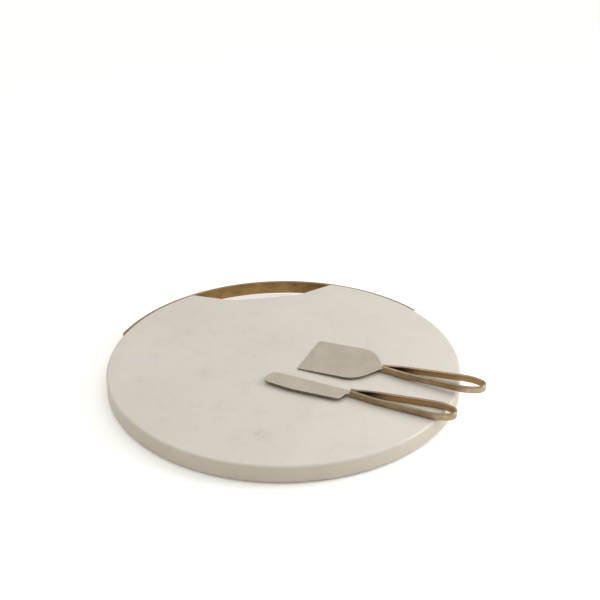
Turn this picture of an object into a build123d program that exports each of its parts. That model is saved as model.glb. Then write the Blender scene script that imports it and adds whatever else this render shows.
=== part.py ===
from build123d import *

import os
from math import atan2, cos, degrees, hypot, radians, sin, sqrt

# A round marble serving slab with a brass bar wrapped round its rim as a
# handle, and two cheese tools with brass loop handles lying on it.
# Units are millimetres, +Z is up, and the origin is on the slab's axis, on the
# surface that the set stands on. +Y points at the hand-hold in the slab's rim.

# ---------------------------------------------------------------- slab
SLAB_DIAMETER = 305.0
SLAB_THICKNESS = 15.0
SLAB_TOP_ARRIS = 2.0  # radius on the upper edge
SLAB_BOTTOM_ARRIS = 1.2  # radius on the lower edge
NOTCH_DEPTH = 31.9  # from the rim to the hand-hold's straight edge
NOTCH_FLOOR_HALF_WIDTH = 31.5
NOTCH_MOUTH_HALF_WIDTH = 67.0  # where the slanted sides reach the rim
NOTCH_FLOOR_RADIUS = 12.0  # inside corners
NOTCH_MOUTH_RADIUS = 5.0  # outside corners

# ---------------------------------------------------------------- feet
FOOT_DIAMETER = 12.0
FOOT_HEIGHT = 1.7
FOOT_EDGE_RADIUS = 0.5
FOOT_INSET = 42.5  # from the slab's rim to a foot's centre

# ---------------------------------------------------------------- band handle
BAND_HEIGHT = 12.0
BAND_THICKNESS = 3.0
BAND_EDGE_RADIUS = 0.6
BAND_HALF_SPAN = 60.7  # degrees each side of +Y
BAND_GAP = 0.1  # between the rim and the band's inner face

# ---------------------------------------------------------------- band screws
SCREW_SHANK_DIAMETER = 4.0
SCREW_HEAD_DIAMETER = 7.6
SCREW_HEAD_RIM = 0.2  # straight part of the countersunk head
SCREW_LENGTH = 15.0
SCREW_TIP_CHAMFER = 0.8
SCREW_SINK = 0.15  # how far the head lies below the band's face
SCREW_SEAT_CLEARANCE = 0.04
SCREW_HOLE_CLEARANCE = 0.25  # radial, in the band
SOCKET_ACROSS_FLATS = 2.5
SOCKET_DEPTH = 1.3
SCREW_FROM_NOTCH = 8.5  # degrees from the notch's mouth to the inner screw
SCREW_FROM_END = 5.5  # degrees from the band's end to the outer screw
ANCHOR_DIAMETER = 7.0
ANCHOR_LENGTH = 14.0
ANCHOR_RECESS = 0.3  # below the rim's surface
ANCHOR_BORE_CLEARANCE = 0.02  # radial, round the screw
ANCHOR_HOLE_CLEARANCE = 0.05  # radial, in the slab

# ---------------------------------------------------------------- loop handle
LOOP_LENGTH = 90.0
LOOP_HALF_WIDTH = 10.0  # at its widest, to the outer face
LOOP_END_LENGTH = 19.0  # from the widest place to the end
LOOP_NOSE_RADIUS = 7.5  # outer radius of the end
LOOP_FLARE_X = 3.2  # where the two limbs start to part
LOOP_FLARE_ANGLE = 11.0  # degrees
LOOP_SHOULDER_X = 20.0  # where the flare eases
LOOP_FLARE_RADIUS = 14.0
LOOP_SHOULDER_RADIUS = 100.0
BAR_THICKNESS = 2.8
BAR_HEIGHT = 6.0
BAR_EDGE_RADIUS = 1.0
BRAZE_LENGTH = 5.5  # filled part between the limbs, from the neck's end
BRAZE_HEIGHT = 5.0

# ---------------------------------------------------------------- blades
BLADE_THICKNESS = 1.5
TANG_WIDTH = 3.4
TANG_LENGTH = 4.5
TANG_CLEARANCE = 0.05
PIN_DIAMETER = 1.5
PIN_FROM_NECK = 2.4
PIN_CLEARANCE = 0.02
NECK_WIDTH = 5.2
BLADE_EDGE_RADIUS = 0.3

SPADE_BLADE_LENGTH = 69.0
SPADE_WIDTH = 50.4
SPADE_SIDE_LENGTH = 52.8  # to where the sides and the shoulders would meet
SPADE_CORNER_RADIUS = 2.5
SPADE_SHOULDER_RADIUS = 20.0
SPADE_NECK_RADIUS = 2.0
SPADE_NECK_LENGTH = 1.6
SPADE_BEVEL_LENGTH = 3.5
SPADE_EDGE_THICKNESS = 0.5

SPREADER_BLADE_LENGTH = 74.5
SPREADER_SPINE = 8.3  # from the tool's axis to the spine, at the tip
SPREADER_TIP_BELLY = 8.0  # from the axis to the belly, at the tip
SPREADER_BELLY = 12.3  # the same where the belly is deepest
SPREADER_BELLY_X = 27.0  # where the belly reaches its depth
SPREADER_HEEL_X = 68.5
SPREADER_NECK_X = 71.8
SPREADER_SPINE_RADIUS = 8.5
SPREADER_TIP_RADIUS = 5.5
SPREADER_BELLY_RADIUS = 90.0
SPREADER_HEEL_RADIUS = 3.0
SPREADER_NECK_RADIUS = 3.5

# ---------------------------------------------------------------- where the tools lie
REST_GAP = 0.05  # between a lying tool and the slab
SPADE_FRONT_X, SPADE_FRONT_Y, SPADE_HEADING = 22.6, 7.1, -32.2
SPREADER_TIP_X, SPREADER_TIP_Y, SPREADER_HEADING = -18.4, -25.3, -30.2

# ---------------------------------------------------------------- worked out
SAME_PLACE = 0.01  # two points nearer than this are one
SLAB_RADIUS = SLAB_DIAMETER / 2
SLAB_TOP = FOOT_HEIGHT + SLAB_THICKNESS
SLAB_MIDDLE = FOOT_HEIGHT + SLAB_THICKNESS / 2
BAND_INNER = SLAB_RADIUS + BAND_GAP
BAND_OUTER = BAND_INNER + BAND_THICKNESS
NOTCH_MOUTH_Y = sqrt(SLAB_RADIUS**2 - NOTCH_MOUTH_HALF_WIDTH**2)
MOUTH_ANGLE = degrees(atan2(NOTCH_MOUTH_HALF_WIDTH, NOTCH_MOUTH_Y))
SCREW_ANGLES = (MOUTH_ANGLE + SCREW_FROM_NOTCH, BAND_HALF_SPAN - SCREW_FROM_END)
SCREW_HEADINGS = [90 + side * angle for side in (-1, 1) for angle in SCREW_ANGLES]


def corners_at(plan, half_width, y):
    """The plan's two corners at y, half_width to the left and right of the middle."""
    return plan.vertices().filter_by(
        lambda v: hypot(abs(v.X) - half_width, v.Y - y) < SAME_PLACE
    )


def slab_outline():
    """The slab's plan: a disc less the hand-hold, with its corners rounded."""
    floor_y = SLAB_RADIUS - NOTCH_DEPTH
    run = (NOTCH_MOUTH_HALF_WIDTH - NOTCH_FLOOR_HALF_WIDTH) / (NOTCH_MOUTH_Y - floor_y)
    beyond_y = SLAB_RADIUS + NOTCH_DEPTH
    beyond_x = NOTCH_FLOOR_HALF_WIDTH + run * (beyond_y - floor_y)
    notch = make_face(
        Polyline(
            (-NOTCH_FLOOR_HALF_WIDTH, floor_y),
            (NOTCH_FLOOR_HALF_WIDTH, floor_y),
            (beyond_x, beyond_y),
            (-beyond_x, beyond_y),
            close=True,
        )
    )
    plan = Circle(SLAB_RADIUS) - notch
    plan = fillet(corners_at(plan, NOTCH_FLOOR_HALF_WIDTH, floor_y), NOTCH_FLOOR_RADIUS)
    return fillet(corners_at(plan, NOTCH_MOUTH_HALF_WIDTH, NOTCH_MOUTH_Y), NOTCH_MOUTH_RADIUS)


def marble_slab():
    slab = extrude(slab_outline(), SLAB_THICKNESS)
    slab = fillet(slab.faces().sort_by(Axis.Z)[-1].edges(), SLAB_TOP_ARRIS)
    slab = fillet(slab.faces().sort_by(Axis.Z)[0].edges(), SLAB_BOTTOM_ARRIS)
    slab = Pos(0, 0, FOOT_HEIGHT) * slab
    hole_radius = ANCHOR_DIAMETER / 2 + ANCHOR_HOLE_CLEARANCE
    hole_depth = ANCHOR_RECESS + ANCHOR_LENGTH + 2 * BAND_GAP
    for heading in SCREW_HEADINGS:
        slab -= radial(Cylinder(hole_radius, 2 * hole_depth), heading, SLAB_RADIUS)
    return slab


def radial(shape, heading, radius):
    """Turns a shape's +Z outwards along a heading and moves it out to a radius."""
    place = Rot(0, 0, heading) * Pos(radius, 0, SLAB_MIDDLE) * Rot(0, 90, 0)
    return place * shape


def foot(x, y):
    pad = extrude(Circle(FOOT_DIAMETER / 2), FOOT_HEIGHT)
    pad = fillet(pad.faces().sort_by(Axis.Z)[0].edges(), FOOT_EDGE_RADIUS)
    return Pos(x, y, 0) * pad


def screw_profile(clearance):
    """Half section of a countersunk screw: its axis is Z and its head's top is at 0."""
    head = SCREW_HEAD_DIAMETER / 2 + clearance
    shank = SCREW_SHANK_DIAMETER / 2
    cone_end = -SCREW_HEAD_RIM - (SCREW_HEAD_DIAMETER / 2 - shank)
    return make_face(
        Polyline(
            (0, 0, 0),
            (head, 0, 0),
            (head, 0, -SCREW_HEAD_RIM - clearance),
            (shank, 0, cone_end - 2 * clearance),
            (shank, 0, -SCREW_LENGTH + SCREW_TIP_CHAMFER),
            (shank - SCREW_TIP_CHAMFER, 0, -SCREW_LENGTH),
            (0, 0, -SCREW_LENGTH),
            close=True,
        )
    )


def band_screw():
    screw = revolve(screw_profile(0), Axis.Z)
    socket = extrude(RegularPolygon(SOCKET_ACROSS_FLATS / 2, 6, major_radius=False), -SOCKET_DEPTH)
    return screw - socket


def band_anchor():
    bore = SCREW_SHANK_DIAMETER / 2 + ANCHOR_BORE_CLEARANCE
    sleeve = Cylinder(ANCHOR_DIAMETER / 2, ANCHOR_LENGTH) - Cylinder(bore, 2 * ANCHOR_LENGTH)
    return Pos(0, 0, -ANCHOR_LENGTH / 2) * sleeve


def brass_band_handle():
    middle_radius = (BAND_INNER + BAND_OUTER) / 2
    section = Pos(middle_radius, 0, SLAB_MIDDLE) * Rot(90, 0, 0) * RectangleRounded(
        BAND_THICKNESS, BAND_HEIGHT, BAND_EDGE_RADIUS
    )
    band = Rot(0, 0, 90 - BAND_HALF_SPAN) * revolve(section, Axis.Z, 2 * BAND_HALF_SPAN)
    hole = Cylinder(SCREW_SHANK_DIAMETER / 2 + SCREW_HOLE_CLEARANCE, 4 * BAND_THICKNESS)
    seat = revolve(screw_profile(SCREW_SEAT_CLEARANCE), Axis.Z)
    mouth = Pos(0, 0, BAND_THICKNESS / 2) * Cylinder(
        SCREW_HEAD_DIAMETER / 2 + SCREW_SEAT_CLEARANCE, BAND_THICKNESS
    )
    for heading in SCREW_HEADINGS:
        band -= radial(hole + seat + mouth, heading, BAND_OUTER - SCREW_SINK)
    return band


def limb_path():
    """Centre line of one limb of the loop, from the neck to the middle of the end."""
    half_bar = BAR_THICKNESS / 2
    widest_x = LOOP_LENGTH - LOOP_END_LENGTH
    nose_x = LOOP_LENGTH - LOOP_NOSE_RADIUS
    # The side arc is level at the widest place and runs into the nose's arc.
    side_radius = (
        LOOP_END_LENGTH**2 + LOOP_HALF_WIDTH**2 - 2 * LOOP_END_LENGTH * LOOP_NOSE_RADIUS
    ) / (2 * (LOOP_HALF_WIDTH - LOOP_NOSE_RADIUS))
    side_y = LOOP_HALF_WIDTH - side_radius
    side_line_radius = side_radius - half_bar
    nose_line_radius = LOOP_NOSE_RADIUS - half_bar
    flare_rise = (LOOP_SHOULDER_X - LOOP_FLARE_X) * sin(radians(LOOP_FLARE_ANGLE)) / cos(
        radians(LOOP_FLARE_ANGLE)
    )
    shoulder = (LOOP_SHOULDER_X, half_bar + flare_rise)
    # The limb's straight part leaves the shoulder and touches the side arc.
    to_x, to_y = widest_x - shoulder[0], side_y - shoulder[1]
    reach = hypot(to_x, to_y)
    touch_heading = degrees(atan2(-to_y, -to_x)) - degrees(
        atan2(sqrt(reach**2 - side_line_radius**2), side_line_radius)
    )
    touch = (
        widest_x + side_line_radius * cos(radians(touch_heading)),
        side_y + side_line_radius * sin(radians(touch_heading)),
    )
    join_heading = degrees(atan2(-side_y, nose_x - widest_x))
    straights = FilletPolyline(
        (0, half_bar),
        (LOOP_FLARE_X, half_bar),
        shoulder,
        touch,
        radius=[LOOP_FLARE_RADIUS, LOOP_SHOULDER_RADIUS],
    )
    side = CenterArc(
        (widest_x, side_y), side_line_radius, touch_heading, join_heading - touch_heading
    )
    nose = CenterArc((nose_x, 0), nose_line_radius, join_heading, -join_heading)
    return Wire(straights.edges() + side.edges() + nose.edges())


def loop_handle():
    """The loop, its neck's end at x = 0, standing on z = 0."""
    section = Plane.YZ * Pos(BAR_THICKNESS / 2, 0) * RectangleRounded(
        BAR_THICKNESS, BAR_HEIGHT, BAR_EDGE_RADIUS
    )
    limb = sweep(section, limb_path())
    braze = Pos(BRAZE_LENGTH / 2, 0, 0) * Box(BRAZE_LENGTH, BAR_THICKNESS, BRAZE_HEIGHT)
    loop = limb + mirror(limb, Plane.XZ) + braze
    slot_depth = TANG_LENGTH + TANG_CLEARANCE
    loop -= Pos(slot_depth / 2, 0, 0) * Box(
        slot_depth, TANG_WIDTH + 2 * TANG_CLEARANCE, BLADE_THICKNESS + 2 * TANG_CLEARANCE
    )
    loop -= Pos(PIN_FROM_NECK, 0, 0) * Cylinder(PIN_DIAMETER / 2 + PIN_CLEARANCE, 2 * BAR_HEIGHT)
    return Pos(0, 0, BAR_HEIGHT / 2) * loop


def tang_pin():
    return Pos(PIN_FROM_NECK, 0, BAR_HEIGHT / 2) * Cylinder(PIN_DIAMETER / 2, BAR_HEIGHT)


def sheet_blade(outline, length):
    """A blade from its outline: adds the thickness, rounded edges, the tang and its pin hole."""
    blade = extrude(outline, BLADE_THICKNESS)
    edges = blade.edges().filter_by(Axis.Z, reverse=True)
    rim = edges.filter_by(lambda e: e.center().X < length - BLADE_EDGE_RADIUS)
    blade = fillet(rim, BLADE_EDGE_RADIUS)
    middle = BLADE_THICKNESS / 2
    blade += Pos(length + TANG_LENGTH / 2, 0, middle) * Box(TANG_LENGTH, TANG_WIDTH, BLADE_THICKNESS)
    blade -= Pos(length + PIN_FROM_NECK, 0, middle) * Cylinder(
        PIN_DIAMETER / 2 + PIN_CLEARANCE, 2 * BLADE_THICKNESS
    )
    return Pos(0, 0, (BAR_HEIGHT - BLADE_THICKNESS) / 2) * blade


def spade_blade():
    half_width, half_neck = SPADE_WIDTH / 2, NECK_WIDTH / 2
    neck_x = SPADE_BLADE_LENGTH - SPADE_NECK_LENGTH
    edge = FilletPolyline(
        (0, 0),
        (0, half_width),
        (SPADE_SIDE_LENGTH, half_width),
        (neck_x, half_neck),
        (SPADE_BLADE_LENGTH, half_neck),
        radius=[SPADE_CORNER_RADIUS, SPADE_SHOULDER_RADIUS, SPADE_NECK_RADIUS],
    )
    half = make_face(
        edge.edges() + Polyline((SPADE_BLADE_LENGTH, half_neck), (SPADE_BLADE_LENGTH, 0), (0, 0)).edges()
    )
    blade = sheet_blade(half + mirror(half, Plane.XZ), SPADE_BLADE_LENGTH)
    under = (BAR_HEIGHT - BLADE_THICKNESS) / 2
    top = under + BLADE_THICKNESS
    bevel = Plane.XZ * make_face(
        Polyline(
            (0, under + SPADE_EDGE_THICKNESS),
            (SPADE_BEVEL_LENGTH, top),
            (0, top),
            close=True,
        )
    )
    return blade - extrude(bevel, SPADE_WIDTH, both=True)


def spreader_blade():
    half_neck = NECK_WIDTH / 2
    length = SPREADER_BLADE_LENGTH
    edge = FilletPolyline(
        (length, half_neck),
        (0, SPREADER_SPINE),
        (0, -SPREADER_TIP_BELLY),
        (SPREADER_BELLY_X, -SPREADER_BELLY),
        (SPREADER_HEEL_X, -SPREADER_BELLY),
        (SPREADER_NECK_X, -half_neck),
        (length, -half_neck),
        radius=[
            SPREADER_SPINE_RADIUS,
            SPREADER_TIP_RADIUS,
            SPREADER_BELLY_RADIUS,
            SPREADER_HEEL_RADIUS,
            SPREADER_NECK_RADIUS,
        ],
    )
    outline = make_face(edge.edges() + Line((length, -half_neck), (length, half_neck)).edges())
    return sheet_blade(outline, length)


def on_slab(x, y, heading, tilt=0.0, pivot_x=0.0):
    """Where a tool lies: its blade's end at x, y, tilted blade down about its neck's end."""
    level = Pos(x, y, SLAB_TOP + REST_GAP) * Rot(0, 0, heading)
    return level * Pos(pivot_x, 0, 0) * Rot(0, -tilt, 0) * Pos(-pivot_x, 0, 0)


def tool(blade, blade_length, place):
    """The three pieces of a cheese tool, moved to where it lies."""
    neck = Pos(blade_length, 0, 0)
    return place * blade, place * neck * loop_handle(), place * neck * tang_pin()


def save(name, shape):
    export_step(shape, f"parts/{name}.step")


def main():
    os.makedirs("parts", exist_ok=True)
    save("marble_slab", marble_slab())
    save("brass_band_handle", brass_band_handle())
    screw, anchor = band_screw(), band_anchor()
    save("band_screws", Compound([radial(screw, h, BAND_OUTER - SCREW_SINK) for h in SCREW_HEADINGS]))
    save("band_anchors", Compound([radial(anchor, h, SLAB_RADIUS - ANCHOR_RECESS) for h in SCREW_HEADINGS]))

    foot_offset = (SLAB_RADIUS - FOOT_INSET) / sqrt(2)
    for depth, y in (("front", -foot_offset), ("back", foot_offset)):
        for side, x in (("left", -foot_offset), ("right", foot_offset)):
            save(f"foot_{depth}_{side}", foot(x, y))

    # The spade rests on its blade's front edge and its neck, so its handle rises.
    blade_height = (BAR_HEIGHT - BLADE_THICKNESS) / 2
    tilt = degrees(atan2(blade_height, SPADE_BLADE_LENGTH))
    spade_place = on_slab(SPADE_FRONT_X, SPADE_FRONT_Y, SPADE_HEADING, tilt, SPADE_BLADE_LENGTH)
    spreader_place = on_slab(SPREADER_TIP_X, SPREADER_TIP_Y, SPREADER_HEADING)
    for name, blade, length, place in (
        ("spade", spade_blade(), SPADE_BLADE_LENGTH, spade_place),
        ("spreader", spreader_blade(), SPREADER_BLADE_LENGTH, spreader_place),
    ):
        placed_blade, handle, pin = tool(blade, length, place)
        save(f"{name}_blade", placed_blade)
        save(f"{name}_handle_loop", handle)
        save(f"{name}_tang_pin", pin)


main()
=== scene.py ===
"""A marble cheese board with its brass bar and two cheese tools, in metres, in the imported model's frame."""

import math
import random

import bmesh
import bpy
from mathutils import Matrix, Vector, noise


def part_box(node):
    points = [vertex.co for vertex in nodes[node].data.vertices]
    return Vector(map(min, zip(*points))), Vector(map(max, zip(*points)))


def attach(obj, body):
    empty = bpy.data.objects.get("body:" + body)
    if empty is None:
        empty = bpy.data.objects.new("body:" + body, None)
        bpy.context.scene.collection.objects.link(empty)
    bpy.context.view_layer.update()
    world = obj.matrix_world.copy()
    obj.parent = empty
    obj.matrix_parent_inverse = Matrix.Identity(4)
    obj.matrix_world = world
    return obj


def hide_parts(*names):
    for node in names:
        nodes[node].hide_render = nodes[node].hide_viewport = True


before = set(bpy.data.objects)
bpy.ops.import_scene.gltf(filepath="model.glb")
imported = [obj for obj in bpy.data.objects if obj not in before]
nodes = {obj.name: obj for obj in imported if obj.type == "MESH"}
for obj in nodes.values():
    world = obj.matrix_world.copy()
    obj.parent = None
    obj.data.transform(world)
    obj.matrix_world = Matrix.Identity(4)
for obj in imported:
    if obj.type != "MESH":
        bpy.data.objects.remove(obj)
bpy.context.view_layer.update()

MM = 0.001
SEED = 7
FACING_LEAN = (-0.2, -0.7)  # a normal's part across a loop where a face starts to look in, and where it does


# ---------------------------------------------------------------- node helpers
class Shader:
    """A material's node tree, with short calls for the nodes that the surfaces here are made of."""

    def __init__(self, name):
        self.material = bpy.data.materials.new(name)
        self.material.use_nodes = True
        self.tree = self.material.node_tree
        self.tree.nodes.clear()
        self.surface = self.tree.nodes.new("ShaderNodeBsdfPrincipled")
        output = self.tree.nodes.new("ShaderNodeOutputMaterial")
        self.tree.links.new(self.surface.outputs["BSDF"], output.inputs["Surface"])
        self.place = self.tree.nodes.new("ShaderNodeTexCoord").outputs["Object"]

    def node(self, kind, inputs=None, **settings):
        made = self.tree.nodes.new("ShaderNode" + kind)
        for key, value in settings.items():
            setattr(made, key, value)
        for key, value in (inputs or {}).items():
            self.feed(made.inputs[key], value)
        return made

    def feed(self, socket, value):
        if isinstance(value, bpy.types.NodeSocket):
            self.tree.links.new(value, socket)
        else:
            socket.default_value = value

    def moved(self, rotation, scale=(1, 1, 1)):
        """The object's own coordinates, turned and stretched."""
        made = self.node("Mapping", {"Vector": self.place}, vector_type="POINT")
        made.inputs["Rotation"].default_value = rotation
        made.inputs["Scale"].default_value = scale
        return made.outputs["Vector"]

    def flat(self):
        """The object's own coordinates, with the height taken out."""
        made = self.node("VectorMath", {0: self.place, 1: (1, 1, 0)}, operation="MULTIPLY")
        return made.outputs["Vector"]

    def around(self, radius, scale):
        """Coordinates that follow a circle about Z: along it, across it and up, each stretched."""
        parts = self.node("SeparateXYZ", {"Vector": self.place}).outputs
        along = self.math("MULTIPLY", self.math("ARCTAN2", parts["Y"], parts["X"]), radius * scale[0])
        across = self.node("VectorMath", {0: self.flat()}, operation="LENGTH")
        made = self.node("CombineXYZ", {"X": along})
        self.feed(made.inputs["Y"], self.math("MULTIPLY", across.outputs["Value"], scale[1]))
        self.feed(made.inputs["Z"], self.math("MULTIPLY", parts["Z"], scale[2]))
        return made.outputs["Vector"]

    def noise(self, scale, detail=4.0, roughness=0.55, distortion=0.0, vector=None):
        made = self.node(
            "TexNoise",
            {
                "Vector": vector or self.place,
                "Scale": scale,
                "Detail": detail,
                "Roughness": roughness,
                "Distortion": distortion,
            },
        )
        return made.outputs["Fac"]

    def ramp(self, factor, *stops):
        """Maps a factor to colours or greys: each stop is a position and a value or colour."""
        made = self.node("ValToRGB", {"Fac": factor})
        elements = made.color_ramp.elements
        while len(elements) < len(stops):
            elements.new(0.5)
        for element, (position, value) in zip(elements, stops):
            element.position = position
            grey = isinstance(value, (int, float))
            element.color = (value, value, value, 1) if grey else (*value, 1)
        return made.outputs["Color"]

    def near(self, x, y, inner, outer):
        """One within inner of an upright line at x, y, falling to nothing at outer."""
        gap = self.node("VectorMath", {0: self.flat(), 1: (x, y, 0)}, operation="DISTANCE")
        limits = {"From Min": inner, "From Max": outer, "To Min": 1.0, "To Max": 0.0}
        made = self.node(
            "MapRange", {"Value": gap.outputs["Value"], **limits}, interpolation_type="SMOOTHSTEP"
        )
        return made.outputs["Result"]

    def height(self, low, high):
        """Rises from nothing at one height to one at another."""
        z = self.node("SeparateXYZ", {"Vector": self.place}).outputs["Z"]
        made = self.node(
            "MapRange", {"Value": z, "From Min": low, "From Max": high}, interpolation_type="SMOOTHSTEP"
        )
        return made.outputs["Result"]

    def facing_in(self, rotation, middle):
        """One on faces that look towards the line y = middle, once the rotation has turned it to X."""
        side = self.node("SeparateXYZ", {"Vector": self.moved(rotation)}).outputs["Y"]
        face = self.node("TexCoord").outputs["Normal"]
        turned = self.node("Mapping", {"Vector": face}, vector_type="VECTOR")
        turned.inputs["Rotation"].default_value = rotation
        lean = self.node("SeparateXYZ", {"Vector": turned.outputs["Vector"]}).outputs["Y"]
        away = self.math("SIGN", self.math("SUBTRACT", side, middle))
        limits = dict(zip(("From Min", "From Max"), FACING_LEAN))
        made = self.node("MapRange", {"Value": self.math("MULTIPLY", lean, away), **limits})
        return made.outputs["Result"]

    def mix(self, factor, a, b, blend="MIX"):
        made = self.node("Mix", data_type="RGBA", blend_type=blend)
        self.feed(made.inputs["Factor"], factor)
        self.feed(made.inputs["A"], a if isinstance(a, bpy.types.NodeSocket) else (*a, 1))
        self.feed(made.inputs["B"], b if isinstance(b, bpy.types.NodeSocket) else (*b, 1))
        return made.outputs["Result"]

    def math(self, operation, a, b=0.0):
        made = self.node("Math", operation=operation)
        self.feed(made.inputs[0], a)
        self.feed(made.inputs[1], b)
        return made.outputs["Value"]

    def part(self, factor, share):
        """A share of a factor."""
        return self.math("MULTIPLY", factor, share)

    def inverse(self, factor):
        return self.math("SUBTRACT", 1.0, factor)

    def bump(self, height, distance, strength, normal=None):
        made = self.node("Bump", {"Height": height, "Distance": distance, "Strength": strength})
        if normal:
            self.feed(made.inputs["Normal"], normal)
        return made.outputs["Normal"]

    def finish(self, **inputs):
        for name, value in inputs.items():
            self.feed(self.surface.inputs[name.replace("_", " ")], value)
        return self.material


def wear(piece, material):
    """Gives a CAD node or a piece its only material."""
    piece.data.materials.clear()
    piece.data.materials.append(material)


# ---------------------------------------------------------------- materials
# Colours are linear. Noise scales are per metre.
WARM_STONE = (0.530, 0.497, 0.447)
COOL_STONE = (0.562, 0.536, 0.496)
GREY_STONE = (0.345, 0.322, 0.310)
CRYSTAL = (0.66, 0.635, 0.59)
GRAIN_SPECK = (0.10, 0.09, 0.085)
SHADED_SIDE_TINT = (0.97, 0.93, 0.855)  # painted warm shade on the ground sides and the underside: what their colour is multiplied by
GROUND_ROUGHNESS = (0.58, 0.58, 0.58)
GROUND_DEPTH = (2.5 * MM, 0.2 * MM)  # below the top, where the sides' finish and painted shade are full and where they end
SAWN_HEADING = math.radians(20)
SAWN_SCALE = (30, 900, 900)
# Grey marks that stand out in the stone: place in millimetres, radius and strength.
MARKS = (
    (-34, -106, 10, 1.0),
    (-31, -73, 7, 0.45),
    (-61, -60, 9, 0.6),
    (-80, -54, 7, 0.55),
    (-108, -73, 6, 0.5),
    (-85, -88, 5, 0.6),
    (-70, -6, 10, 0.4),
    (-125, -9, 6, 0.5),
    (-77, 65, 6, 0.5),
    (-60, 83, 5, 0.45),
    (-13, 89, 6, 0.35),
    (95, 66, 8, 0.4),
    (-55, -110, 12, 0.35),
)
MARK_REACH = 1.35  # how far a mark fades out, as a share of its radius
SPECK = (-24.4 * MM, 14.7 * MM)  # one dark grain
SPECK_EDGE = (0.36 * MM, 0.9 * MM)
SUBSURFACE_DEPTH = 4 * MM

# Painted shade on the loops' inner faces, and near-black painted shade at their narrow ends.
SHADED_INNER_BRASS = (0.42, 0.27, 0.13)
SHADED_THROAT_BRASS = (0.06, 0.042, 0.025)
BRUSH = (60, 2600, 2600)  # brush marks are far finer across than along

STEEL_BRUSH = (45, 3000, 3000)
STEEL_SCRATCHES = (90, 1400, 1400)
DULL_STEEL = (0.50, 0.455, 0.385)
CLEAN_STEEL = (0.56, 0.515, 0.44)
LINED_STEEL = (0.42, 0.38, 0.32)
SCRATCHED_STEEL = (0.68, 0.65, 0.58)
# Painted shade on the blades' upright sides.
SHADED_SIDE_STEEL = (0.20, 0.17, 0.13)
# The ground bevel's colour, painted lighter as a highlight.
GROUND_BEVEL_AND_HIGHLIGHT = (0.60, 0.555, 0.475)
BEVEL_ROUGHNESS = (0.46, 0.46, 0.46)
# How level a face is, from 0 for upright to 1 for flat, and whether it is a blade's side, which gets a
# painted shade, or its bevel.
SHADED_SIDE_LEVELS = ((0.35, 0.8), (0.8, 0.0))
BEVEL_LEVELS = ((0.90, 0.0), (0.93, 1.0), (0.975, 1.0), (0.99, 0.0))


def marble():
    s = Shader("marble")
    cloud = s.noise(7, 5, 0.6, 0.6)
    patch = s.noise(42, 4, 0.6, 0.7)
    vein = s.noise(16, 6, 0.62, 1.6)
    grain = s.noise(1100, 3, 0.6)
    crystal = s.noise(420, 2, 0.5)

    base = s.mix(s.ramp(cloud, (0.34, 0.0), (0.66, 1.0)), WARM_STONE, COOL_STONE)
    base = s.mix(s.part(s.ramp(crystal, (0.35, 0.0), (0.75, 1.0)), 0.10), base, CRYSTAL)
    base = s.mix(s.part(s.ramp(patch, (0.54, 0.0), (0.74, 1.0)), 0.17), base, GREY_STONE)
    line = s.ramp(vein, (0.485, 0.0), (0.5, 1.0), (0.515, 0.0))
    base = s.mix(s.part(line, 0.08), base, GREY_STONE)

    marked = None
    for x, y, radius, strength in MARKS:
        spot = s.part(s.near(x * MM, y * MM, 0.0, MARK_REACH * radius * MM), strength)
        marked = spot if marked is None else s.math("MAXIMUM", marked, spot)
    broken = s.ramp(s.noise(150, 3, 0.6, 0.5), (0.34, 0.0), (0.70, 1.0))
    base = s.mix(s.part(s.part(marked, broken), 0.78), base, GREY_STONE)
    base = s.mix(s.part(s.near(*SPECK, *SPECK_EDGE), 0.8), base, GRAIN_SPECK)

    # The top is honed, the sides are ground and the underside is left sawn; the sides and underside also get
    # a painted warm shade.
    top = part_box("marble_slab")[1].z
    honed_and_unshaded = s.height(*(top - depth for depth in GROUND_DEPTH))
    base = s.mix(s.inverse(honed_and_unshaded), base, SHADED_SIDE_TINT, "MULTIPLY")
    roughness = s.mix(honed_and_unshaded, GROUND_ROUGHNESS, s.ramp(patch, (0.25, 0.34), (0.75, 0.46)))
    sawn = s.noise(1.0, 3, 0.6, vector=s.moved((0, 0, SAWN_HEADING), SAWN_SCALE))
    normal = s.bump(sawn, 0.03 * MM, 0.25, s.bump(grain, 0.04 * MM, 0.35))
    return s.finish(
        Base_Color=base,
        Roughness=roughness,
        Normal=normal,
        IOR=1.5,
        Subsurface_Weight=0.25,
        Subsurface_Radius=(1.0, 0.72, 0.48),
        Subsurface_Scale=SUBSURFACE_DEPTH,
    )


def brass(name, colours, lines_at, worn, inside=None):
    """Brushed antique brass. lines_at gives the brush marks' coordinates, worn is one on the rubbed edges.

    inside, where it is given, says which faces look into a loop and get a painted shade, and which of them
    are in its narrow end, where that painted shade is near black.
    """
    s = Shader(name)
    light, dark, worn_colour = colours
    marks = s.noise(1.0, 3, 0.6, vector=lines_at(s))
    patina = s.noise(75, 5, 0.62, 0.6)
    blotch = s.noise(210, 4, 0.6, 0.4)
    fine = s.noise(520, 3, 0.6)
    colour = s.mix(s.ramp(patina, (0.36, 0.0), (0.66, 1.0)), dark, light)
    colour = s.mix(s.part(s.ramp(marks, (0.3, 0.0), (0.7, 1.0)), 0.30), colour, dark)
    colour = s.mix(s.part(s.ramp(blotch, (0.60, 0.0), (0.75, 1.0)), 0.35), colour, dark)
    rubbed = s.part(worn(s), s.ramp(fine, (0.3, 0.35), (0.6, 0.9)))
    colour = s.mix(rubbed, colour, worn_colour)
    if inside:
        inner_shade, throat = inside(s)
        # Painted shade on the loop's inner faces, near black at its narrow end.
        colour = s.mix(inner_shade, colour, s.mix(throat, SHADED_INNER_BRASS, SHADED_THROAT_BRASS))
    roughness = s.ramp(fine, (0.25, 0.30), (0.75, 0.46))
    normal = s.bump(marks, 0.03 * MM, 0.6, s.bump(patina, 0.25 * MM, 0.3))
    return s.finish(Base_Color=colour, Metallic=1.0, Roughness=roughness, Normal=normal)


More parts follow.
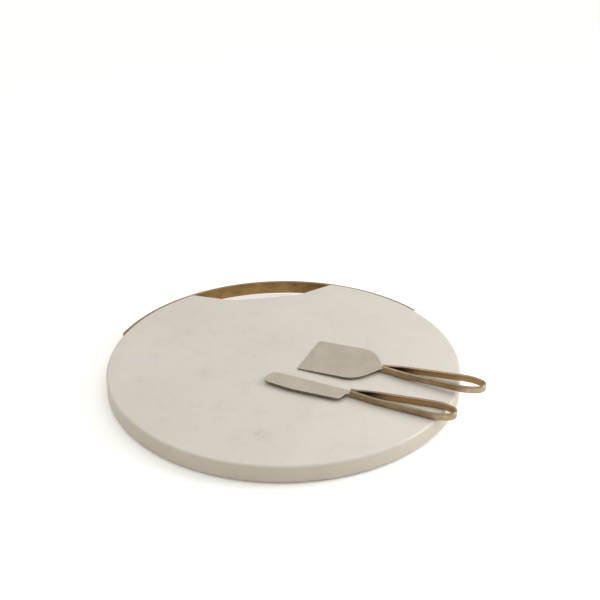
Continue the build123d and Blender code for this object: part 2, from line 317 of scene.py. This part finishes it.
def satin_steel(name, rotation):
    """Satin steel with its brush marks along a blade, painted shade on its sides and a coarser bevel that is
    painted lighter.
    """
    s = Shader(name)
    lines = s.noise(1.0, 3, 0.6, vector=s.moved(rotation, STEEL_BRUSH))
    smear = s.noise(55, 4, 0.6, 0.5)
    scratch = s.noise(1.0, 2, 0.5, 0.3, vector=s.moved(rotation, STEEL_SCRATCHES))
    colour = s.mix(s.ramp(smear, (0.35, 0.0), (0.7, 1.0)), DULL_STEEL, CLEAN_STEEL)
    colour = s.mix(s.part(lines, 0.2), colour, LINED_STEEL)
    colour = s.mix(s.part(s.ramp(scratch, (0.70, 0.0), (0.76, 1.0)), 0.25), colour, SCRATCHED_STEEL)
    upright = s.node("TexCoord").outputs["Normal"]
    level = s.math("ABSOLUTE", s.node("SeparateXYZ", {"Vector": upright}).outputs["Z"])
    bevel = s.ramp(level, *BEVEL_LEVELS)
    # Painted shade on the blade's upright sides.
    colour = s.mix(s.ramp(level, *SHADED_SIDE_LEVELS), colour, SHADED_SIDE_STEEL)
    # The bevel is ground, and painted lighter as a highlight.
    colour = s.mix(bevel, colour, GROUND_BEVEL_AND_HIGHLIGHT)
    roughness = s.mix(bevel, s.ramp(smear, (0.3, 0.30), (0.7, 0.40)), BEVEL_ROUGHNESS)
    normal = s.bump(lines, 0.02 * MM, 0.6)
    return s.finish(Base_Color=colour, Metallic=1.0, Roughness=roughness, Normal=normal)


def pad_rubber():
    s = Shader("foot_rubber")
    fine = s.noise(1500, 3, 0.6)
    colour = s.mix(s.noise(260, 3), (0.46, 0.46, 0.44), (0.58, 0.58, 0.56))
    roughness = s.ramp(fine, (0.3, 0.45), (0.7, 0.62))
    return s.finish(Base_Color=colour, Roughness=roughness, Normal=s.bump(fine, 0.03 * MM, 0.5))


# ---------------------------------------------------------------- camera, light and floor
# The camera stands at this heading, elevation and distance from the middle of the slab's top, and looks
# down by the pitch and a little to the right by the yaw. Angles are in degrees.
VIEW_HEADING = -8.5
VIEW_ELEVATION = 31.245
VIEW_DISTANCE = 1.0409
VIEW_PITCH = 28.30
VIEW_YAW = 0.90
LENS = 72  # millimetres, as is the sensor
SENSOR = 36

SKY_BASE = (0.10, 0.092, 0.075)
# The sky's soft bright parts: heading from +X towards +Y, elevation, both in degrees, and colour.
SKY_LOBES = (
    (0, 88, (1.09, 1.08, 1.06)),
    (82, 30, (0.29, 0.28, 0.27)),
    (175, 20, (0.17, 0.16, 0.13)),
    (-98, 30, (0.06, 0.055, 0.045)),
)
LOBE_EDGE = (0.15, 0.95)  # the cosine where a lobe starts, and where it is full
SEEN_SKY = (1, 1, 1)  # what the camera sees of the sky
FLOOR_REACH = 4.0  # metres from the middle to a side
FLOOR_SQUARES = 24
FLOOR_TONES = ((0.935, 0.935, 0.935), (0.95, 0.95, 0.95))
FLOOR_GLOW = (0.9, 0.95, 1)
FLOOR_GLOW_STRENGTH = 0.09
PANEL_SIZE = (0.5, 0.35)
PANEL_PLACE = (-10, 26, 0.68)  # heading and elevation in degrees, distance in metres
PANEL_POWER = 2.6


def aimed(heading, elevation):
    """A unit vector from its heading and its elevation, in degrees."""
    heading, elevation = math.radians(heading), math.radians(elevation)
    flat = math.cos(elevation)
    return Vector((flat * math.cos(heading), flat * math.sin(heading), math.sin(elevation)))


def camera():
    slab_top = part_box("marble_slab")[1].z
    data = bpy.data.cameras.new("camera")
    data.lens = LENS
    data.sensor_width = SENSOR
    eye = bpy.data.objects.new("camera", data)
    bpy.context.scene.collection.objects.link(eye)
    turn = Matrix.Rotation(math.radians(VIEW_HEADING), 3, "Z")
    rise, pitch, yaw = (math.radians(a) for a in (VIEW_ELEVATION, VIEW_PITCH, VIEW_YAW))
    offset = Vector((0, -math.cos(rise), math.sin(rise))) * VIEW_DISTANCE
    aim = Vector((math.sin(yaw) * math.cos(pitch), math.cos(yaw) * math.cos(pitch), -math.sin(pitch)))
    eye.location = turn @ offset + Vector((0, 0, slab_top))
    eye.rotation_euler = (turn @ aim).to_track_quat("-Z", "Y").to_euler()
    bpy.context.scene.camera = eye
    bpy.context.scene.view_settings.view_transform = "Standard"


def sky():
    """A pale studio, brighter where the lobes are. What the camera sees directly is plain."""
    world = bpy.data.worlds.new("studio")
    world.use_nodes = True
    tree = world.node_tree
    way = tree.nodes.new("ShaderNodeTexCoord").outputs["Generated"]
    total = tree.nodes.new("ShaderNodeRGB").outputs["Color"]
    total.default_value = (*SKY_BASE, 1)
    for heading, elevation, colour in SKY_LOBES:
        lean = tree.nodes.new("ShaderNodeVectorMath")
        lean.operation = "DOT_PRODUCT"
        tree.links.new(way, lean.inputs[0])
        lean.inputs[1].default_value = aimed(heading, elevation)
        spread = tree.nodes.new("ShaderNodeMapRange")
        spread.interpolation_type = "SMOOTHSTEP"
        spread.inputs["From Min"].default_value, spread.inputs["From Max"].default_value = LOBE_EDGE
        tree.links.new(lean.outputs["Value"], spread.inputs["Value"])
        added = tree.nodes.new("ShaderNodeMix")
        added.data_type, added.blend_type = "RGBA", "ADD"
        tree.links.new(spread.outputs["Result"], added.inputs["Factor"])
        tree.links.new(total, added.inputs["A"])
        added.inputs["B"].default_value = (*colour, 1)
        total = added.outputs["Result"]
    seen = tree.nodes.new("ShaderNodeMix")
    seen.data_type = "RGBA"
    tree.links.new(tree.nodes.new("ShaderNodeLightPath").outputs["Is Camera Ray"], seen.inputs["Factor"])
    tree.links.new(total, seen.inputs["A"])
    seen.inputs["B"].default_value = (*SEEN_SKY, 1)
    tree.links.new(seen.outputs["Result"], tree.nodes["Background"].inputs["Color"])
    bpy.context.scene.world = world


def side_panel():
    """A soft panel on the right, which makes that side of the set the brightest."""
    data = bpy.data.lights.new("side_panel", "AREA")
    data.shape = "RECTANGLE"
    data.size, data.size_y = PANEL_SIZE
    data.energy = PANEL_POWER
    lamp = bpy.data.objects.new("side_panel", data)
    heading, elevation, distance = PANEL_PLACE
    lamp.location = aimed(heading, elevation) * distance
    lamp.rotation_euler = (-lamp.location).to_track_quat("-Z", "Y").to_euler()
    bpy.context.scene.collection.objects.link(lamp)


def floor():
    """A plain pale floor under the pads, which glows just enough to stay white."""
    bm = bmesh.new()
    bmesh.ops.create_grid(bm, x_segments=FLOOR_SQUARES, y_segments=FLOOR_SQUARES, size=FLOOR_REACH)
    mesh = bpy.data.meshes.new("floor")
    bm.to_mesh(mesh)
    bm.free()
    made = bpy.data.objects.new("floor", mesh)
    made.location.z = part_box("foot_front_left")[0].z
    bpy.context.scene.collection.objects.link(made)
    s = Shader("floor_paint")
    tone = s.mix(s.noise(3, 3), *FLOOR_TONES)
    glow = {"Emission_Color": (*FLOOR_GLOW, 1), "Emission_Strength": FLOOR_GLOW_STRENGTH}
    wear(made, s.finish(Base_Color=tone, Roughness=0.9, **glow))


# ---------------------------------------------------------------- slab
SLAB_SPACING = 0.8 * MM  # between two columns of the mesh
TOP_ARRIS = 2.0 * MM
BOTTOM_ARRIS = 1.2 * MM
ARRIS_STEPS = 6
SIDE_STEPS = 5
SAME_LEVEL = 0.01 * MM
RIM_SNAP = 0.3 * MM  # a point this near the rim's circle lies on it
HOLD_RING = 0.5 * MM  # a ring that keeps the faces flat up to the arris
FACE_RINGS = (0.975, 0.93, 0.85, 0.74, 0.6, 0.44, 0.28, 0.12)
CHIPS = 46
CHIP_REACH = (1, 5)  # columns to each side
CHIP_DEPTH = (0.12 * MM, 0.55 * MM)
CHIP_FALL = 1.5  # how steeply a chip's depth falls towards its ends
CHIP_BREAKS = (0.8, 1.0)  # how unevenly it breaks, as shares of its depth
ANCHOR_GAP = 8  # degrees: more than an anchor spans, less than the gap between two
ANCHOR_HOLE_RADIUS = 3.55 * MM
ANCHOR_HOLE_DEPTH = 14.5 * MM
ANCHOR_HOLE_SIDES = 48
ARRIS_WAVE = 0.10 * MM  # how uneven the hand-eased arris is
ARRIS_WAVE_SCALES = (90, 260)  # waves per metre
SIDE_WAVE = 0.05 * MM
SIDE_WAVE_SCALE = 60


def slab_outline():
    """The slab's plan as evenly spaced points, read from the CAD slab's ring under the upper arris."""
    low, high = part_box("marble_slab")
    level = high.z - TOP_ARRIS
    rim = (high.x - low.x) / 2
    ring = {}
    for vertex in nodes["marble_slab"].data.vertices:
        if abs(vertex.co.z - level) < SAME_LEVEL:
            ring[round(math.atan2(vertex.co.y, vertex.co.x), 6)] = vertex.co.xy
    corners = [ring[heading] for heading in sorted(ring)]
    closed = corners + corners[:1]
    lengths = [(b - a).length for a, b in zip(closed, closed[1:])]
    count = round(sum(lengths) / SLAB_SPACING)
    step = sum(lengths) / count
    points, passed, side = [], 0.0, 0
    for i in range(count):
        while passed + lengths[side] < i * step:
            passed += lengths[side]
            side += 1
        point = closed[side].lerp(closed[side + 1], (i * step - passed) / lengths[side])
        if abs(point.length - rim) < RIM_SNAP:
            point = point.normalized() * rim
        points.append(point)
    return points


def outward(points):
    """The unit normals of a closed outline, pointing out of it."""
    count = len(points)
    normals = []
    for i in range(count):
        along = (points[(i + 2) % count] - points[i - 2]).normalized()
        normals.append(Vector((along.y, -along.x)))
    return normals


def chip_depths(count, draw):
    """How deep the lower arris is chipped at each column."""
    depths = [0.0] * count
    for _ in range(CHIPS):
        middle, reach, depth = draw.randrange(count), draw.randint(*CHIP_REACH), draw.uniform(*CHIP_DEPTH)
        for k in range(-reach, reach + 1):
            column = (middle + k) % count
            shape = 1 - (abs(k) / (reach + 1)) ** CHIP_FALL
            depths[column] = max(depths[column], depth * shape * draw.uniform(*CHIP_BREAKS))
    return depths


def slab_profile():
    """Inset and height of each ring from the underside to the top, and how much of the arris it is."""
    low, high = (corner.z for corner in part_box("marble_slab"))
    rows = [(BOTTOM_ARRIS + HOLD_RING, low, 0.0)]
    for k in range(ARRIS_STEPS + 1):
        turn = math.pi / 2 * k / ARRIS_STEPS
        inset, drop = BOTTOM_ARRIS * (1 - math.sin(turn)), BOTTOM_ARRIS * (1 - math.cos(turn))
        rows.append((inset, low + drop, math.sin(2 * turn)))
    side_low, side_high = low + BOTTOM_ARRIS, high - TOP_ARRIS
    for k in range(1, SIDE_STEPS):
        rows.append((0.0, side_low + (side_high - side_low) * k / SIDE_STEPS, 0.0))
    for k in range(ARRIS_STEPS + 1):
        turn = math.pi / 2 * k / ARRIS_STEPS
        inset, rise = TOP_ARRIS * (1 - math.cos(turn)), TOP_ARRIS * math.sin(turn)
        rows.append((inset, side_high + rise, math.sin(2 * turn)))
    rows.append((TOP_ARRIS + HOLD_RING, high, 0.0))
    return rows


def slab_mesh():
    """The stone slab: even rings round the outline, eased and lightly chipped arrises, flat faces."""
    low, high = (corner.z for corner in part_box("marble_slab"))
    middle = (low + high) / 2
    outline = slab_outline()
    normals = outward(outline)
    depths = chip_depths(len(outline), random.Random(SEED))
    rings = []
    for inset, z, arris in slab_profile():
        ring = []
        for point, normal, chip in zip(outline, normals, depths):
            spot = Vector((*point, z))
            broad, fine = (noise.noise(spot * scale) for scale in ARRIS_WAVE_SCALES)
            wave = broad + 0.5 * fine
            give = arris * ARRIS_WAVE * (0.5 + 0.5 * wave)
            if arris == 0.0 and inset == 0.0:
                give = SIDE_WAVE * (0.5 + 0.5 * noise.noise(spot * SIDE_WAVE_SCALE))
            cut = chip * arris if z < middle else 0.0
            place = point - normal * (inset + give + cut)
            lift = cut if z < middle else -give
            ring.append(Vector((*place, z + lift)))
        rings.append(ring)
    first, last = rings[0], rings[-1]
    for scale in FACE_RINGS:
        rings.insert(0, [Vector((p.x * scale, p.y * scale, low)) for p in first])
        rings.append([Vector((p.x * scale, p.y * scale, high)) for p in last])

    bm = bmesh.new()
    made = [[bm.verts.new(co) for co in ring] for ring in rings]
    count = len(outline)
    for lower, upper in zip(made, made[1:]):
        for i in range(count):
            bm.faces.new((lower[i], lower[(i + 1) % count], upper[(i + 1) % count], upper[i]))
    for ring, z, up in ((made[0], low, False), (made[-1], high, True)):
        centre = bm.verts.new((0, 0, z))
        for i in range(count):
            corners = (ring[i], ring[(i + 1) % count], centre)
            bm.faces.new(corners if up else corners[::-1])
    mesh = bpy.data.meshes.new("stone_slab")
    bm.to_mesh(mesh)
    bm.free()
    return mesh


def anchor_headings():
    """The headings of the bar's four anchors, in degrees."""
    headings = sorted(math.degrees(math.atan2(v.co.y, v.co.x)) for v in nodes["band_anchors"].data.vertices)
    groups = [[headings[0]]]
    for heading in headings[1:]:
        if heading - groups[-1][-1] > ANCHOR_GAP:
            groups.append([])
        groups[-1].append(heading)
    return [(group[0] + group[-1]) / 2 for group in groups]


def drilled(slab):
    """Drills the holes that the bar's anchors sit in, from the slab's side."""
    low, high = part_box("band_anchors")
    level = (low.z + high.z) / 2
    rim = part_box("marble_slab")[1].x
    bm = bmesh.new()
    for heading in anchor_headings():
        made = bmesh.ops.create_cone(
            bm,
            cap_ends=True,
            segments=ANCHOR_HOLE_SIDES,
            radius1=ANCHOR_HOLE_RADIUS,
            radius2=ANCHOR_HOLE_RADIUS,
            depth=2 * ANCHOR_HOLE_DEPTH,
        )
        way = aimed(heading, 0)
        mouth = way * rim + Vector((0, 0, level))
        place = Matrix.Translation(mouth) @ way.to_track_quat("Z", "Y").to_matrix().to_4x4()
        bmesh.ops.transform(bm, matrix=place, verts=made["verts"])
    mesh = bpy.data.meshes.new("drills")
    bm.to_mesh(mesh)
    bm.free()
    drills = bpy.data.objects.new("drills", mesh)
    bpy.context.scene.collection.objects.link(drills)
    cut = slab.modifiers.new("anchor_holes", "BOOLEAN")
    cut.object, cut.operation, cut.solver = drills, "DIFFERENCE", "EXACT"
    result = bpy.data.meshes.new_from_object(slab.evaluated_get(bpy.context.evaluated_depsgraph_get()))
    slab.modifiers.clear()
    slab.data = result
    bpy.data.objects.remove(drills)


def stone_slab(material):
    """The slab that stands in for the CAD one."""
    slab = bpy.data.objects.new("stone_slab", slab_mesh())
    bpy.context.scene.collection.objects.link(slab)
    drilled(slab)
    wear(slab, material)
    for polygon in slab.data.polygons:
        polygon.use_smooth = True
    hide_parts("marble_slab")
    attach(slab, "board")


# ---------------------------------------------------------------- the object
# Painted shade inside the loops: brown on the inner faces, near black at each loop's narrow end.
THROAT_DISTANCE = 9 * MM  # from the tang pin to the middle of the loop's narrow end, where the painted shade is darkest
THROAT_SHADE_REACH = (4 * MM, 24 * MM)
INNER_SHADE_SHARE = 0.85  # how much of the inner faces' painted shade shows
BAND_EDGE = (0.9 * MM, 0.2 * MM)  # inside an edge, where its rubbed strip starts and is full
LOOP_EDGE = (1.0 * MM, 0.2 * MM)
# Each brass's light, dark and rubbed colour.
BAND_COLOURS = ((0.36, 0.225, 0.088), (0.22, 0.135, 0.05), (0.30, 0.215, 0.12))
LOOP_COLOURS = ((0.45, 0.345, 0.22), (0.27, 0.19, 0.105), (0.25, 0.21, 0.16))
HIDDEN_COLOURS = ((0.40, 0.31, 0.19), (0.25, 0.18, 0.10), (0.40, 0.31, 0.19))


def pin_of(tool):
    """The middle of a tool's tang pin."""
    low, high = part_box(f"{tool}_tang_pin")
    return (low + high) / 2


def heading_of(tool):
    """The direction a tool points in, from its tang pin to the far end of its loop."""
    pin = pin_of(tool)
    loop = nodes[f"{tool}_handle_loop"].data.vertices
    far = max((v.co for v in loop), key=lambda co: (co - pin).length)
    return math.atan2(far.y - pin.y, far.x - pin.x)


def straight_lines(rotation):
    """Brush marks along the direction that the rotation turns to X."""
    return lambda s: s.moved(rotation, BRUSH)


def ring_lines(radius):
    """Brush marks that follow the bar round the slab."""
    return lambda s: s.around(radius, BRUSH)


def band_edges(s):
    """One along the bar's upper and lower edges."""
    low, high = (corner.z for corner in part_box("brass_band_handle"))
    start, full = BAND_EDGE
    upper = s.height(high - start, high - full)
    lower = s.inverse(s.height(low + full, low + start))
    return s.math("MAXIMUM", upper, lower)


def painted_loop_shade(tool, turned):
    """The painted shade inside a tool's loop: its inner faces, and how near they are to its throat."""
    pin = pin_of(tool)
    middle = (Matrix.Rotation(turned[2], 3, "Z") @ pin).y
    throat = pin + aimed(-math.degrees(turned[2]), 0) * THROAT_DISTANCE

    def inside(s):
        inner_shade = s.part(s.facing_in(turned, middle), INNER_SHADE_SHARE)
        return inner_shade, s.near(throat.x, throat.y, *THROAT_SHADE_REACH)

    return inside


def top_edge(node):
    """One along a node's upper edges."""
    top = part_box(node)[1].z
    return lambda s: s.height(*(top - depth for depth in LOOP_EDGE))


camera()
sky()
side_panel()
floor()

stone_slab(marble())
bar_lines = ring_lines(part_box("brass_band_handle")[1].y)
wear(nodes["brass_band_handle"], brass("band_brass", BAND_COLOURS, bar_lines, band_edges))
for tool in ("spade", "spreader"):
    turned = (0, 0, -heading_of(tool))
    wear(nodes[f"{tool}_blade"], satin_steel(f"{tool}_steel", turned))
    handle = f"{tool}_handle_loop"
    along, edge, inside = straight_lines(turned), top_edge(handle), painted_loop_shade(tool, turned)
    loop_brass = brass(f"{tool}_brass", LOOP_COLOURS, along, edge, inside)
    wear(nodes[handle], loop_brass)
    wear(nodes[f"{tool}_tang_pin"], loop_brass)
for name in ("band_screws", "band_anchors"):
    wear(nodes[name], brass(f"{name}_brass", HIDDEN_COLOURS, straight_lines((0, 0, 0)), top_edge(name)))
rubber = pad_rubber()
for name, node in nodes.items():
    if name.startswith("foot_"):
        wear(node, rubber)
